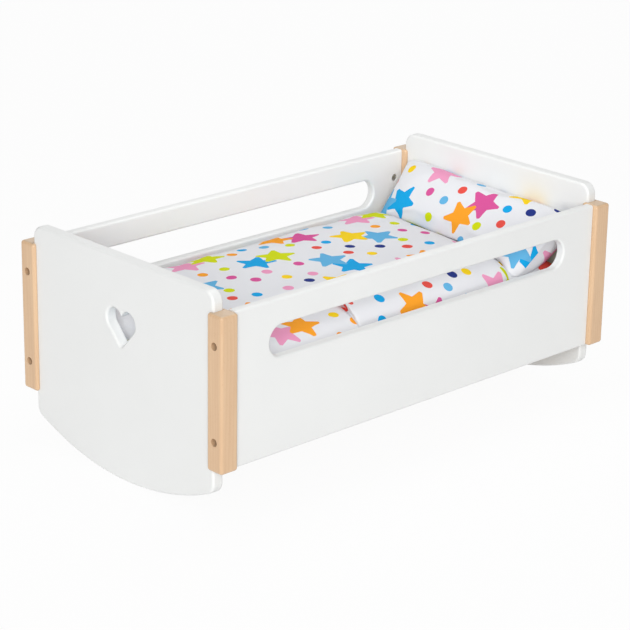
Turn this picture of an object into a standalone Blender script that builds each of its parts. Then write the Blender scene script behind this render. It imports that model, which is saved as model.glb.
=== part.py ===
"""A doll's rocking cradle: two heart-cut rocker ends, four grooved posts, two slotted sides,
a base board, the screws and barrel nuts that draw it together, and its mattress, duvet and pillow.

Metres, +Z up. The origin is on the floor under the middle of the cradle.
+X runs from the foot to the head, and +Y from the front side to the back side.
"""

import math

import bmesh
import bpy
from mathutils import Matrix, Vector

# Whole cradle
LENGTH = 0.515  # over the posts
WIDTH = 0.287  # over the posts

# Fits
SEAT_GAP = 0.0003  # between pieces that touch
CUT_OVERRUN = 0.002  # how far a cutter reaches past the face that it opens
LACQUER_ROUNDING = 0.0025  # round-over of the lacquered panels' edges

# Posts
POST_SIDE = 0.020
POST_HEIGHT = 0.148
POST_CLEARANCE = 0.052  # from the floor to the posts' lower ends
POST_ROUNDING = 0.003

# End panels, which stand in grooves in the middle of the posts' inner sides
END_THICKNESS = 0.012
END_RISE = 0.018  # of their tops above the posts
GROOVE_DEPTH = 0.005
END_CORNER_RADIUS = 0.012
ROCKER_RADIUS = 0.292
ROCKER_CORNER_RADIUS = 0.012

# Heart cut-out
HEART_WIDTH = 0.040
HEART_DROP = 0.0613  # from the panel's top edge to the lobes' centres
HEART_POINT_DROP = 0.0257  # from the lobes' centres to the meeting point of the straight sides
HEART_TIP_RADIUS = 0.003
LOBE_OFFSET_SHARE = 0.905  # of a lobe's radius, from the middle to its centre

# Side panels, which butt against the middle of the posts
SIDE_THICKNESS = 0.010
SLOT_END_DISTANCE = 0.0415  # from the posts to the slot's ends
SLOT_HEIGHT = 0.030
SLOT_DROP = 0.025  # from the panel's top edge to the slot

# Base board, in a groove of each side panel
BOARD_THICKNESS = 0.004
BOARD_RISE = 0.044  # of its underside above the posts' lower ends
BOARD_GROOVE_DEPTH = 0.003

# Socket-head screws
SCREW_END_DISTANCE = 0.029  # from a post's end to the screw's axis
SCREW_RADIUS = 0.002
SCREW_LENGTH = 0.025
SCREW_TIP_CHAMFER = 0.0005
HEAD_RADIUS = 0.0035
HEAD_HEIGHT = 0.004
HEAD_CHAMFER = 0.0004
HEX_RADIUS = 0.0017  # over the corners of the key's socket, from the axis
HEX_DEPTH = 0.002
COUNTERBORE_DEPTH = 0.010

# Barrel nuts
NUT_RADIUS = 0.0035
NUT_COVER = 0.0014  # of wood left behind the nut
NUT_CHAMFER = 0.0004
NUT_DISTANCE = 0.0105  # from the side panel's end to the nut's axis
NUT_SLOT_WIDTH = 0.001
NUT_SLOT_DEPTH = 0.0008
PILOT_OVERRUN = 0.0015  # of the screw's hole past its tip

# Bedding
BEDDING_GAP = 0.0005  # between soft pieces that lie on each other
MATTRESS_CLEARANCE_ENDS = 0.003  # from the end panels' inner faces
MATTRESS_CLEARANCE_SIDES = 0.003  # from the side panels' inner faces
MATTRESS_SEAM_HEIGHT = 0.019  # from its underside to the seam round its sides
MATTRESS_SHOULDER_HEIGHT = 0.040
MATTRESS_CROWN = 0.005
MATTRESS_EDGE = 0.002
MATTRESS_DRAW_IN = 0.0015
MATTRESS_CORNER = 0.004
DUVET_MARGIN = 0.005  # from its sides to the mattress's sides
DUVET_FOOT_DISTANCE = 0.010  # from the foot panel to the duvet's foot edge
DUVET_PILLOW_GAP = 0.002
DUVET_LOFT = 0.007
DUVET_HEM = 0.0025
DUVET_CORNER = 0.006
PILLOW_CLEARANCE = 0.0115  # from its ends to the side panels
PILLOW_REACH = 0.0715  # from the head panel to the middle of the pillow's lower edge
PILLOW_SKEW = 0.016  # how far the lower edge leads at the front and trails at the back
PILLOW_HEAD_GAP = 0.003  # from the pillow's upper edge to the head panel
PILLOW_DROP = 0.029  # from the head panel's top to the pillow's upper edge
PILLOW_TILT = 0.006  # how much higher the upper edge lies at the back than in the middle
PILLOW_FRONT_SWELL = 0.012
PILLOW_BACK_SWELL = 0.034
PILLOW_EDGE = 0.002
PILLOW_DRAW_IN = 0.003
PILLOW_CORNER = 0.004

# How soft pieces swell: a higher boxiness keeps the swelling full nearer to the seam, and a
# lower roundness rises more steeply from it
CORNER_BOXINESS = 8
MATTRESS_BOXINESS = 12
MATTRESS_ROUNDNESS = 0.5
CROWN_BOXINESS = 2
CROWN_ROUNDNESS = 1
PILLOW_FRONT_BOXINESS = 3
PILLOW_BACK_BOXINESS = 10
PILLOW_ROUNDNESS = 0.5
DUVET_BOXINESS = 8
DUVET_ROUNDNESS = 0.6

# Facet counts
CORNER_STEPS = 6
ROUNDING_STEPS = 3
ROCKER_STEPS = 17  # odd, so that the cradle stands on a flat facet
LOBE_STEPS = 14
TIP_STEPS = 4
SLOT_END_STEPS = 14
BORE_SIDES = 16
HEX_SIDES = 6
MATTRESS_STEPS = (24, 18)  # along and across the cradle
PILLOW_STEPS = (14, 22)
DUVET_STEPS = (24, 18)
PLACE_ROUNDS = 8  # of correction, to find a place on the mattress's sheet

# Places and sizes worked out from the sizes above
POST_X = LENGTH / 2 - POST_SIDE / 2
POST_Y = WIDTH / 2 - POST_SIDE / 2
POST_TOP = POST_CLEARANCE + POST_HEIGHT
SCREW_HEIGHTS = (POST_CLEARANCE + SCREW_END_DISTANCE, POST_TOP - SCREW_END_DISTANCE)
END_TOP = POST_TOP + END_RISE
END_INNER_FACE = POST_X - END_THICKNESS / 2
END_HALF_WIDTH = WIDTH / 2 - POST_SIDE + GROOVE_DEPTH - SEAT_GAP
LOBE_RADIUS = HEART_WIDTH / 2 / (1 + LOBE_OFFSET_SHARE)
LOBE_OFFSET = LOBE_RADIUS * LOBE_OFFSET_SHARE
LOBE_HEIGHT = END_TOP - HEART_DROP
SIDE_INNER_FACE = POST_Y - SIDE_THICKNESS / 2
SIDE_HALF_LENGTH = LENGTH / 2 - POST_SIDE - SEAT_GAP
SLOT_HALF_LENGTH = LENGTH / 2 - POST_SIDE - SLOT_END_DISTANCE
BOARD_HEIGHT = POST_CLEARANCE + BOARD_RISE
BOARD_TOP = BOARD_HEIGHT + BOARD_THICKNESS
SCREW_REACH = COUNTERBORE_DEPTH - SEAT_GAP + SCREW_LENGTH  # of its tip inside the post's end
NUT_X = SIDE_HALF_LENGTH - NUT_DISTANCE
NUT_LENGTH = SIDE_THICKNESS - NUT_COVER - 2 * SEAT_GAP
MATTRESS_HALF_LENGTH = END_INNER_FACE - MATTRESS_CLEARANCE_ENDS
MATTRESS_HALF_WIDTH = SIDE_INNER_FACE - MATTRESS_CLEARANCE_SIDES
MATTRESS_BOTTOM = BOARD_TOP + SEAT_GAP
DUVET_HALF_WIDTH = MATTRESS_HALF_WIDTH - DUVET_MARGIN
DUVET_FOOT = DUVET_FOOT_DISTANCE - END_INNER_FACE
PILLOW_HALF_LENGTH = SIDE_INNER_FACE - PILLOW_CLEARANCE
HALF_PI = math.pi / 2


def finish_material(name, colour, roughness, metallic=0.0):
    """A Principled material of one plain finish."""
    material = bpy.data.materials.new(name)
    material.use_nodes = True
    shader = material.node_tree.nodes["Principled BSDF"]
    shader.inputs["Base Color"].default_value = (*colour, 1.0)
    shader.inputs["Roughness"].default_value = roughness
    shader.inputs["Metallic"].default_value = metallic
    material.diffuse_color = (*colour, 1.0)
    return material


def add_object(name, bm, location=(0, 0, 0), material=None):
    """Closes the working mesh off as a named object at its place, with smooth round faces."""
    bmesh.ops.recalc_face_normals(bm, faces=bm.faces)
    mesh = bpy.data.meshes.new(name)
    bm.to_mesh(mesh)
    bm.free()
    mesh.shade_smooth()
    mesh.set_sharp_from_angle(angle=math.radians(35))
    obj = bpy.data.objects.new(name, mesh)
    obj.location = location
    bpy.context.scene.collection.objects.link(obj)
    if material:
        mesh.materials.append(material)
    else:
        obj.hide_render = True
        obj.display_type = "WIRE"
    return obj


def cut(obj, cutter):
    """Takes the cutter's shape out of the object."""
    boolean = obj.modifiers.new("cut by " + cutter.name, "BOOLEAN")
    boolean.operation = "DIFFERENCE"
    boolean.solver = "EXACT"
    boolean.object = cutter


def arc(centre, radius, start, end, steps):
    """Points of an arc from one angle to another, both ends included."""
    points = []
    for i in range(steps + 1):
        angle = start + (end - start) * i / steps
        points.append((centre[0] + radius * math.cos(angle), centre[1] + radius * math.sin(angle)))
    return points


def mirrored(points):
    """The same points on the other side of the middle line, in the opposite order."""
    return [(-u, v) for u, v in reversed(points)]


def edge_profile(thickness, radius):
    """Inset and height, from one face of a board over its rounded edge to the other face."""
    rising = []
    for i in range(ROUNDING_STEPS + 1):
        angle = HALF_PI * i / ROUNDING_STEPS
        inset = radius * (1 - math.sin(angle))
        height = radius * (1 - math.cos(angle)) - thickness / 2
        rising.append((inset, height))
    return rising + [(inset, -height) for inset, height in reversed(rising)]


def rounded_board(outline, hole, thickness, orient):
    """A board with one hole, its edges rounded over. outline(inset) and hole(inset) give the
    edges' points on the flat, and orient turns flat points and heights into the board's place."""
    bm = bmesh.new()
    for edge in (outline, hole):
        rings = []
        for inset, height in edge_profile(thickness, LACQUER_ROUNDING):
            rings.append([bm.verts.new(orient(u, v, height)) for u, v in edge(inset)])
        for lower, upper in zip(rings, rings[1:]):
            for i, vert in enumerate(lower):
                after = (i + 1) % len(lower)
                bm.faces.new((vert, lower[after], upper[after], upper[i]))
    open_edges = [e for e in bm.edges if len(e.link_faces) == 1]
    face_height = thickness / 2 - LACQUER_ROUNDING / 2
    middle = orient(0, 0, 0)
    normal = orient(0, 0, 1) - middle
    for side in (-1, 1):
        rim = []
        for e in open_edges:
            depth = side * (e.verts[0].co - middle).dot(normal)
            if depth > face_height:
                rim.append(e)
        bmesh.ops.triangle_fill(bm, edges=rim, use_beauty=True)
    return bm


def turned(bm, profile, place):
    """A round solid from (radius, distance along the axis) pairs, closed at both ends."""
    rings = []
    for radius, along in profile:
        ring = []
        for i in range(BORE_SIDES):
            angle = 2 * math.pi * i / BORE_SIDES
            point = Vector((radius * math.cos(angle), radius * math.sin(angle), along))
            ring.append(bm.verts.new(place @ point))
        rings.append(ring)
    for lower, upper in zip(rings, rings[1:]):
        for i, vert in enumerate(lower):
            after = (i + 1) % BORE_SIDES
            bm.faces.new((vert, lower[after], upper[after], upper[i]))
    bm.faces.new(rings[0])
    bm.faces.new(rings[-1])


def block(bm, low, high):
    """A plain box between two corners."""
    low, high = Vector(low), Vector(high)
    made = bmesh.ops.create_cube(bm, size=1)
    bmesh.ops.scale(bm, vec=high - low, verts=made["verts"])
    bmesh.ops.translate(bm, vec=(low + high) / 2, verts=made["verts"])


def along_x(sign, origin):
    """Turns the axis of a round solid to point out of the cradle's end."""
    return Matrix.Translation(origin) @ Matrix.Rotation(sign * HALF_PI, 4, "Y")


def along_y(sign, origin):
    """Turns the axis of a round solid across the cradle."""
    return Matrix.Translation(origin) @ Matrix.Rotation(-sign * HALF_PI, 4, "X")


def end_outline(inset):
    """The end panel's edge: flat top, round upper corners, straight sides and a rocker arc."""
    corner_u = END_HALF_WIDTH - ROCKER_CORNER_RADIUS
    reach = ROCKER_RADIUS - ROCKER_CORNER_RADIUS
    swing = math.asin(corner_u / reach)
    rocker_centre = ROCKER_RADIUS * math.cos(swing / ROCKER_STEPS)
    corner_v = rocker_centre - math.sqrt(reach**2 - corner_u**2)
    start, end = -HALF_PI - swing, -HALF_PI + swing
    bottom = arc((0, rocker_centre), ROCKER_RADIUS - inset, start, end, ROCKER_STEPS)
    lower = arc((corner_u, corner_v), ROCKER_CORNER_RADIUS - inset, end, 0, CORNER_STEPS)
    centre = (END_HALF_WIDTH - END_CORNER_RADIUS, END_TOP - END_CORNER_RADIUS)
    upper = arc(centre, END_CORNER_RADIUS - inset, 0, HALF_PI, CORNER_STEPS)
    right = lower[1:] + upper
    return bottom + right + mirrored(right)


def heart_outline(inset):
    """The heart's edge: two round lobes, straight sides and a small round tip."""
    lean = math.atan2(LOBE_OFFSET, HEART_POINT_DROP)
    lean += math.asin(LOBE_RADIUS / math.hypot(LOBE_OFFSET, HEART_POINT_DROP))
    tip_height = LOBE_HEIGHT - HEART_POINT_DROP + HEART_TIP_RADIUS / math.sin(lean)
    tip = arc((0, tip_height), HEART_TIP_RADIUS + inset, lean - math.pi, -lean, TIP_STEPS)
    radius = LOBE_RADIUS + inset
    cusp_rise = math.sqrt(radius**2 - LOBE_OFFSET**2)
    cusp = math.atan2(cusp_rise, -LOBE_OFFSET)
    lobe = arc((LOBE_OFFSET, LOBE_HEIGHT), radius, -lean, cusp, LOBE_STEPS)
    return tip + lobe[:-1] + [(0, LOBE_HEIGHT + cusp_rise)] + mirrored(lobe[:-1])


def make_end_panel(name, side, material):
    """A rocker end. Its outline lies across the cradle."""
    bm = rounded_board(end_outline, heart_outline, END_THICKNESS, lambda u, v, h: Vector((h, u, v)))
    return add_object(name, bm, (side * POST_X, 0, 0), material)


def side_outline(inset):
    """The side panel's edge. The long edges are rounded, and the butted ends are square."""
    low = POST_CLEARANCE + inset
    high = POST_TOP - inset
    half = SIDE_HALF_LENGTH
    return [(-half, low), (half, low), (half, high), (-half, high)]


def slot_outline(inset):
    """The slot's edge: straight runs between two half circles."""
    radius = SLOT_HEIGHT / 2
    centre = (SLOT_HALF_LENGTH - radius, POST_TOP - SLOT_DROP - radius)
    end = arc(centre, radius + inset, -HALF_PI, HALF_PI, SLOT_END_STEPS)
    return end + mirrored(end)


def make_side_panel(name, side, material):
    """A slotted side, with its board groove, nut holes and screw holes."""
    bm = rounded_board(side_outline, slot_outline, SIDE_THICKNESS, lambda u, v, h: Vector((u, h, v)))
    place = (0, side * POST_Y, 0)
    panel = add_object(name, bm, place, material)

    inner = -side * SIDE_THICKNESS / 2
    crosswise = bmesh.new()
    low, high = sorted((inner + side * BOARD_GROOVE_DEPTH, inner - side * CUT_OVERRUN))
    reach = SIDE_HALF_LENGTH + CUT_OVERRUN
    block(crosswise, (-reach, low, BOARD_HEIGHT - SEAT_GAP), (reach, high, BOARD_TOP + SEAT_GAP))
    nut_hole = NUT_RADIUS + SEAT_GAP
    for end in (-1, 1):
        for height in SCREW_HEIGHTS:
            axis = along_y(side, (end * NUT_X, inner, height))
            turned(crosswise, [(nut_hole, -CUT_OVERRUN), (nut_hole, NUT_LENGTH + 2 * SEAT_GAP)], axis)
    cut(panel, add_object(name + "_groove_and_nut_cutter", crosswise, place))

    lengthwise = bmesh.new()
    screw_hole = SCREW_RADIUS + SEAT_GAP
    depth = SCREW_REACH - POST_SIDE + PILOT_OVERRUN
    for end in (-1, 1):
        for height in SCREW_HEIGHTS:
            axis = along_x(end, (end * SIDE_HALF_LENGTH, 0, height))
            turned(lengthwise, [(screw_hole, -depth), (screw_hole, CUT_OVERRUN)], axis)
    cut(panel, add_object(name + "_screw_hole_cutter", lengthwise, place))
    return panel


def make_post(name, end, side, material):
    """A corner post with rounded edges, a groove for the end panel and two counterbored holes."""
    place = (end * POST_X, side * POST_Y, POST_CLEARANCE + POST_HEIGHT / 2)
    half = Vector((POST_SIDE, POST_SIDE, POST_HEIGHT)) / 2
    bm = bmesh.new()
    block(bm, -half, half)
    bmesh.ops.bevel(
        bm, geom=bm.edges[:], offset=POST_ROUNDING, segments=ROUNDING_STEPS, profile=0.5, affect="EDGES"
    )
    post = add_object(name, bm, place, material)

    groove = bmesh.new()
    half_groove = END_THICKNESS / 2 + SEAT_GAP
    inner = -side * POST_SIDE / 2
    low, high = sorted((inner + side * GROOVE_DEPTH, inner - side * CUT_OVERRUN))
    reach = POST_HEIGHT / 2 + CUT_OVERRUN
    block(groove, (-half_groove, low, -reach), (half_groove, high, reach))
    cut(post, add_object(name + "_groove_cutter", groove, place))

    bores = bmesh.new()
    wide = HEAD_RADIUS + SEAT_GAP
    narrow = SCREW_RADIUS + SEAT_GAP
    through = -POST_SIDE - CUT_OVERRUN
    seat = -COUNTERBORE_DEPTH
    profile = [(narrow, through), (narrow, seat), (wide, seat), (wide, CUT_OVERRUN)]
    for height in SCREW_HEIGHTS:
        turned(bores, profile, along_x(end, (end * POST_SIDE / 2, 0, height - place[2])))
    cut(post, add_object(name + "_bore_cutter", bores, place))
    return post


def make_screw(name, end, side, height, material):
    """One socket-head screw, seated in its post's counterbore."""
    place = (end * LENGTH / 2, side * POST_Y, height)
    seat = -COUNTERBORE_DEPTH + SEAT_GAP
    top = seat + HEAD_HEIGHT
    tip = -SCREW_REACH
    profile = [
        (SCREW_RADIUS - SCREW_TIP_CHAMFER, tip),
        (SCREW_RADIUS, tip + SCREW_TIP_CHAMFER),
        (SCREW_RADIUS, seat),
        (HEAD_RADIUS, seat),
        (HEAD_RADIUS, top - HEAD_CHAMFER),
        (HEAD_RADIUS - HEAD_CHAMFER, top),
    ]
    axis = along_x(end, (0, 0, 0))
    bm = bmesh.new()
    turned(bm, profile, axis)
    screw = add_object(name, bm, place, material)

    key = bmesh.new()
    depth = HEX_DEPTH + CUT_OVERRUN
    bmesh.ops.create_cone(
        key, cap_ends=True, segments=HEX_SIDES, radius1=HEX_RADIUS, radius2=HEX_RADIUS, depth=depth
    )
    middle = Matrix.Translation((0, 0, top + CUT_OVERRUN - depth / 2))
    bmesh.ops.transform(key, matrix=axis @ middle, verts=key.verts)
    cut(screw, add_object(name + "_key_cutter", key, place))
    return screw


def make_nut(name, end, side, height, material):
    """One barrel nut, in its blind hole in the side panel's inner face."""
    place = (end * NUT_X, side * SIDE_INNER_FACE, height)
    profile = [
        (NUT_RADIUS - NUT_CHAMFER, SEAT_GAP),
        (NUT_RADIUS, SEAT_GAP + NUT_CHAMFER),
        (NUT_RADIUS, SEAT_GAP + NUT_LENGTH - NUT_CHAMFER),
        (NUT_RADIUS - NUT_CHAMFER, SEAT_GAP + NUT_LENGTH),
    ]
    bm = bmesh.new()
    turned(bm, profile, along_y(side, (0, 0, 0)))
    nut = add_object(name, bm, place, material)

    hole = bmesh.new()
    radius = SCREW_RADIUS + SEAT_GAP
    reach = NUT_RADIUS + CUT_OVERRUN
    turned(hole, [(radius, -reach), (radius, reach)], along_x(end, (0, side * SIDE_THICKNESS / 2, 0)))
    floor, outside = sorted((side * (SEAT_GAP + NUT_SLOT_DEPTH), -side * CUT_OVERRUN))
    half_slot = NUT_SLOT_WIDTH / 2
    block(hole, (-reach, floor, -half_slot), (reach, outside, half_slot))
    cut(nut, add_object(name + "_hole_cutter", hole, place))
    return nut


def make_base_board(material):
    """The thin board under the mattress, held in the side panels' grooves."""
    half_length = SIDE_HALF_LENGTH
    half_width = SIDE_INNER_FACE + BOARD_GROOVE_DEPTH - SEAT_GAP
    bm = bmesh.new()
    block(bm, (-half_length, -half_width, 0), (half_length, half_width, BOARD_THICKNESS))
    return add_object("base_board", bm, (0, 0, BOARD_HEIGHT), material)


def fullness(u, v, boxiness, softness):
    """How full a stuffed piece is at a place on its sheet: 0 at its seam, 1 in its middle."""
    return ((1 - abs(u) ** boxiness) * (1 - abs(v) ** boxiness)) ** softness


def blunted(u, v, corner):
    """How far a place on a sheet is pulled in to round the sheet's corners off."""
    return corner * (u * v) ** CORNER_BOXINESS


def cushion_plan(u, v, half_length, half_width, draw_in, corner):
    """Where a place on a cushion's sheet lies: sides drawn in between slightly rounded corners."""
    x = u * (half_length - draw_in * (1 - v * v) - blunted(u, v, corner))
    y = v * (half_width - draw_in * (1 - u * u) - blunted(u, v, corner))
    return x, y


def spaced(count):
    """Places from -1 to 1 that lie closer together towards both ends."""
    return [math.sin(HALF_PI * (2 * i / count - 1)) for i in range(count + 1)]


def stuffed(name, steps, top, bottom, location, material):
    """A stuffed piece: an upper and a lower sheet joined by a narrow edge at the seam."""
    columns, rows = steps
    bm = bmesh.new()
    sheets = []
    for sheet in (top, bottom):
        sheets.append([[bm.verts.new(sheet(u, v)) for v in spaced(rows)] for u in spaced(columns)])
    for grid in sheets:
        for i in range(columns):
            for j in range(rows):
                bm.faces.new((grid[i][j], grid[i + 1][j], grid[i + 1][j + 1], grid[i][j + 1]))
    rims = []
    for grid in sheets:
        rim = [grid[i][0] for i in range(columns)]
        rim += [grid[columns][j] for j in range(rows)]
        rim += [grid[i][rows] for i in range(columns, 0, -1)]
        rim += [grid[0][j] for j in range(rows, 0, -1)]
        rims.append(rim)
    upper, lower = rims
    for i, vert in enumerate(upper):
        after = (i + 1) % len(upper)
        bm.faces.new((vert, upper[after], lower[after], lower[i]))
    return add_object(name, bm, location, material)


def mattress_plan(u, v):
    """Where a place on the mattress's sheets lies."""
    return cushion_plan(
        u, v, MATTRESS_HALF_LENGTH, MATTRESS_HALF_WIDTH, MATTRESS_DRAW_IN, MATTRESS_CORNER
    )


def mattress_rise(u, v):
    """Height of the mattress's upper sheet over its underside."""
    seam = MATTRESS_SEAM_HEIGHT + MATTRESS_EDGE / 2
    shoulder = (MATTRESS_SHOULDER_HEIGHT - seam) * fullness(u, v, MATTRESS_BOXINESS, MATTRESS_ROUNDNESS)
    return seam + shoulder + MATTRESS_CROWN * fullness(u, v, CROWN_BOXINESS, CROWN_ROUNDNESS)


def mattress_top(x, y):
    """Height of the mattress's upper sheet above the floor at a place in the cradle, from the
    place on the sheet that a few rounds of correction settle on."""
    u = v = 0.0
    for _ in range(PLACE_ROUNDS):
        blunt = blunted(u, v, MATTRESS_CORNER)
        draw_x = MATTRESS_DRAW_IN * (1 - v * v) + blunt
        draw_y = MATTRESS_DRAW_IN * (1 - u * u) + blunt
        u = max(-1, min(1, x / (MATTRESS_HALF_LENGTH - draw_x)))
        v = max(-1, min(1, y / (MATTRESS_HALF_WIDTH - draw_y)))
    return MATTRESS_BOTTOM + mattress_rise(u, v)


def make_mattress(material):
    """The stuffed mattress, flat underneath and crowned on top."""

    def top(u, v):
        return (*mattress_plan(u, v), mattress_rise(u, v))

    def bottom(u, v):
        seam = MATTRESS_SEAM_HEIGHT - MATTRESS_EDGE / 2
        flatness = fullness(u, v, MATTRESS_BOXINESS, MATTRESS_ROUNDNESS)
        return (*mattress_plan(u, v), seam * (1 - flatness))

    return stuffed("mattress", MATTRESS_STEPS, top, bottom, (0, 0, MATTRESS_BOTTOM), material)


def pillow_point(u, v, side):
    """A place on the pillow, which leans between the mattress and the head panel. u runs up the
    lean and v across, and side tells the front sheet from the back sheet."""
    across = v * (PILLOW_HALF_LENGTH - PILLOW_DRAW_IN * (1 - u * u) - blunted(u, v, PILLOW_CORNER))
    lower_x = END_INNER_FACE - PILLOW_REACH + PILLOW_SKEW * v
    lower_z = mattress_top(lower_x, across) + BEDDING_GAP + PILLOW_EDGE
    lower = Vector((lower_x, across, lower_z))
    upper_z = END_TOP - PILLOW_DROP + PILLOW_TILT * v
    upper = Vector((END_INNER_FACE - PILLOW_HEAD_GAP, across, upper_z))
    rise = upper - lower
    outward = Vector((-rise.z, 0, rise.x)).normalized()
    up_share = (1 + u) / 2 - blunted(u, v, PILLOW_CORNER) / rise.length
    seam = lower.lerp(upper, up_share)
    if side > 0:
        swell = PILLOW_FRONT_SWELL * fullness(u, v, PILLOW_FRONT_BOXINESS, PILLOW_ROUNDNESS)
        return seam + (PILLOW_EDGE / 2 + swell) * outward
    swell = PILLOW_BACK_SWELL * fullness(u, v, PILLOW_BACK_BOXINESS, PILLOW_ROUNDNESS)
    point = seam - (PILLOW_EDGE / 2 + swell) * outward
    point.x = min(point.x, END_INNER_FACE - BEDDING_GAP)
    point.z = max(point.z, mattress_top(point.x, point.y) + BEDDING_GAP)
    return point


def make_pillow(material):
    """The pillow, swollen until it lies on the mattress and against the head panel."""

    def top(u, v):
        return pillow_point(u, v, 1)

    def bottom(u, v):
        return pillow_point(u, v, -1)

    return stuffed("pillow", PILLOW_STEPS, top, bottom, (0, 0, 0), material)


def make_duvet(material):
    """The thin duvet, from the foot of the mattress up to the pillow."""

    def pillow_front(y):
        """How far towards the foot the pillow reaches at a place across the cradle."""
        v = max(-1, min(1, y / PILLOW_HALF_LENGTH))
        return min(pillow_point(u, v, 1).x for u in spaced(PILLOW_STEPS[0]))

    def bottom(u, v):
        y = v * DUVET_HALF_WIDTH
        head = pillow_front(y) - DUVET_PILLOW_GAP
        blunt = blunted(u, v, DUVET_CORNER)
        x = DUVET_FOOT + (head - DUVET_FOOT) * (1 + u) / 2 - math.copysign(blunt, u)
        y -= math.copysign(blunt, v)
        return (x, y, mattress_top(x, y) + BEDDING_GAP)

    def top(u, v):
        x, y, z = bottom(u, v)
        loft = DUVET_LOFT * fullness(u, v, DUVET_BOXINESS, DUVET_ROUNDNESS)
        return (x, y, z + DUVET_HEM + loft)

    return stuffed("duvet", DUVET_STEPS, top, bottom, (0, 0, 0), material)


def build():
    """Clears the scene and makes every piece of the cradle."""
    for obj in list(bpy.data.objects):
        bpy.data.objects.remove(obj)
    lacquer = finish_material("white_lacquer", (0.86, 0.87, 0.86), 0.35)
    beech = finish_material("beech", (0.74, 0.53, 0.36), 0.5)
    plywood = finish_material("plywood", (0.72, 0.58, 0.42), 0.6)
    cotton = finish_material("star_cotton", (0.85, 0.86, 0.90), 0.85)
    steel = finish_material("zinc_steel", (0.62, 0.62, 0.60), 0.35, 1.0)

    ends = {"foot": -1, "head": 1}
    sides = {"front": -1, "back": 1}
    for end_name, end in ends.items():
        make_end_panel(end_name + "_end_panel", end, lacquer)
    for side_name, side in sides.items():
        make_side_panel(side_name + "_side_panel", side, lacquer)
    for end_name, end in ends.items():
        for side_name, side in sides.items():
            corner = end_name + "_" + side_name
            make_post("post_" + corner, end, side, beech)
            for row, height in zip(("lower", "upper"), SCREW_HEIGHTS):
                make_screw(f"screw_{corner}_{row}", end, side, height, steel)
                make_nut(f"barrel_nut_{corner}_{row}", end, side, height, steel)
    make_base_board(plywood)
    make_mattress(cotton)
    make_pillow(cotton)
    make_duvet(cotton)


build()
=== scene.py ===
"""A doll's rocking cradle: white lacquered ends and sides between beech posts, with its
star-printed mattress, duvet and pillow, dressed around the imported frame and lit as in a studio."""

import math
import random

import bmesh
import bpy
from mathutils import Color, Euler, Matrix, Vector, noise
from mathutils.bvhtree import BVHTree


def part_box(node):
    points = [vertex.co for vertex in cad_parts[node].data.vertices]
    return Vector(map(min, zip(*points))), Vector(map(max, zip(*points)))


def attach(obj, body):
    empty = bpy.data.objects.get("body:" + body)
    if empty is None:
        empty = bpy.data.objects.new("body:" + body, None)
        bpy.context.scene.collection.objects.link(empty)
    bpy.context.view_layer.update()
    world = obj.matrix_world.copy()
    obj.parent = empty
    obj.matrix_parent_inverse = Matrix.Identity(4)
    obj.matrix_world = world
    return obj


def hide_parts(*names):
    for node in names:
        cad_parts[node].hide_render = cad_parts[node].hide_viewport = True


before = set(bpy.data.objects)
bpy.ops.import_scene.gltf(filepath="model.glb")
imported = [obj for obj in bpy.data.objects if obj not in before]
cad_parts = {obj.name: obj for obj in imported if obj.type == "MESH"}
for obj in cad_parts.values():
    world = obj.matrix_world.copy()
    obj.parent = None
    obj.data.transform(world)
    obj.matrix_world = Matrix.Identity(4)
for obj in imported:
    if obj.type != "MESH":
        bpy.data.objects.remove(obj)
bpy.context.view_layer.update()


# The rocker ends are sawn from 12 mm fibreboard, with a rocker arc underneath and a heart cut
# through, rounded over along every edge and sprayed with white satin lacquer. Each one stands in
# grooves down the inner sides of its two posts.
HALF_PI = math.pi / 2
ROUND_OVER = 0.0025
ROUND_STEPS = 8
CORNER_STEPS = 16
END_CORNER_RADIUS = 0.012
ROCKER_RADIUS = 0.292
ROCKER_CORNER_RADIUS = 0.012
ROCKER_STEPS = 96
HEART_DROP = 0.0613  # from the end's top to the middles of the heart's lobes
HEART_POINT_DROP = 0.0257  # from there to where its sides would meet
HEART_TIP_RADIUS = 0.003
LOBE_RADIUS = 0.0105
LOBE_OFFSET = 0.0095
LOBE_STEPS = 40
LACQUER_WHITE = (239, 240, 239)
LACQUER_CLOUD = (235, 236, 235)
LACQUER_ROUGHNESS = (0.30, 0.42)
CLOUD_SCALE = 14.0
HAZE_SCALE = 70.0
PEEL_SCALE = 420.0
PEEL_DEPTH = 0.00003
FLAT_FACE_WEIGHT = 100


class Wire:
    """The output of a shader node. Arithmetic on wires adds Math nodes."""

    def __init__(self, socket):
        self.socket = socket

    def node(self, kind, settings, inputs, output=0):
        """Adds a node of any other kind: first its settings, then the values or wires of its
        inputs, by their names or places."""
        tree = self.socket.id_data
        made = tree.nodes.new(kind)
        for name, value in settings.items():
            setattr(made, name, value)
        for place, value in inputs.items():
            if isinstance(value, Wire):
                tree.links.new(value.socket, made.inputs[place])
            else:
                made.inputs[place].default_value = value
        return Wire(made.outputs[output])

    def math(self, operation, *values):
        """Adds a Math node that works on values and wires."""
        return self.node("ShaderNodeMath", {"operation": operation}, dict(enumerate(values)))

    def __add__(self, other):
        return self.math("ADD", self, other)

    def __radd__(self, other):
        return self.math("ADD", other, self)

    def __sub__(self, other):
        return self.math("SUBTRACT", self, other)

    def __rsub__(self, other):
        return self.math("SUBTRACT", other, self)

    def __mul__(self, other):
        return self.math("MULTIPLY", self, other)

    def __rmul__(self, other):
        return self.math("MULTIPLY", other, self)

    def __truediv__(self, other):
        return self.math("DIVIDE", self, other)

    def __rtruediv__(self, other):
        return self.math("DIVIDE", other, self)

    def __lt__(self, other):
        return self.math("LESS_THAN", self, other)

    def __gt__(self, other):
        return self.math("GREATER_THAN", self, other)


def colour(red, green, blue):
    """A colour as a screen shows it, ready for a shader."""
    return (*Color((red / 255, green / 255, blue / 255)).from_srgb_to_scene_linear(), 1.0)


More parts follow.
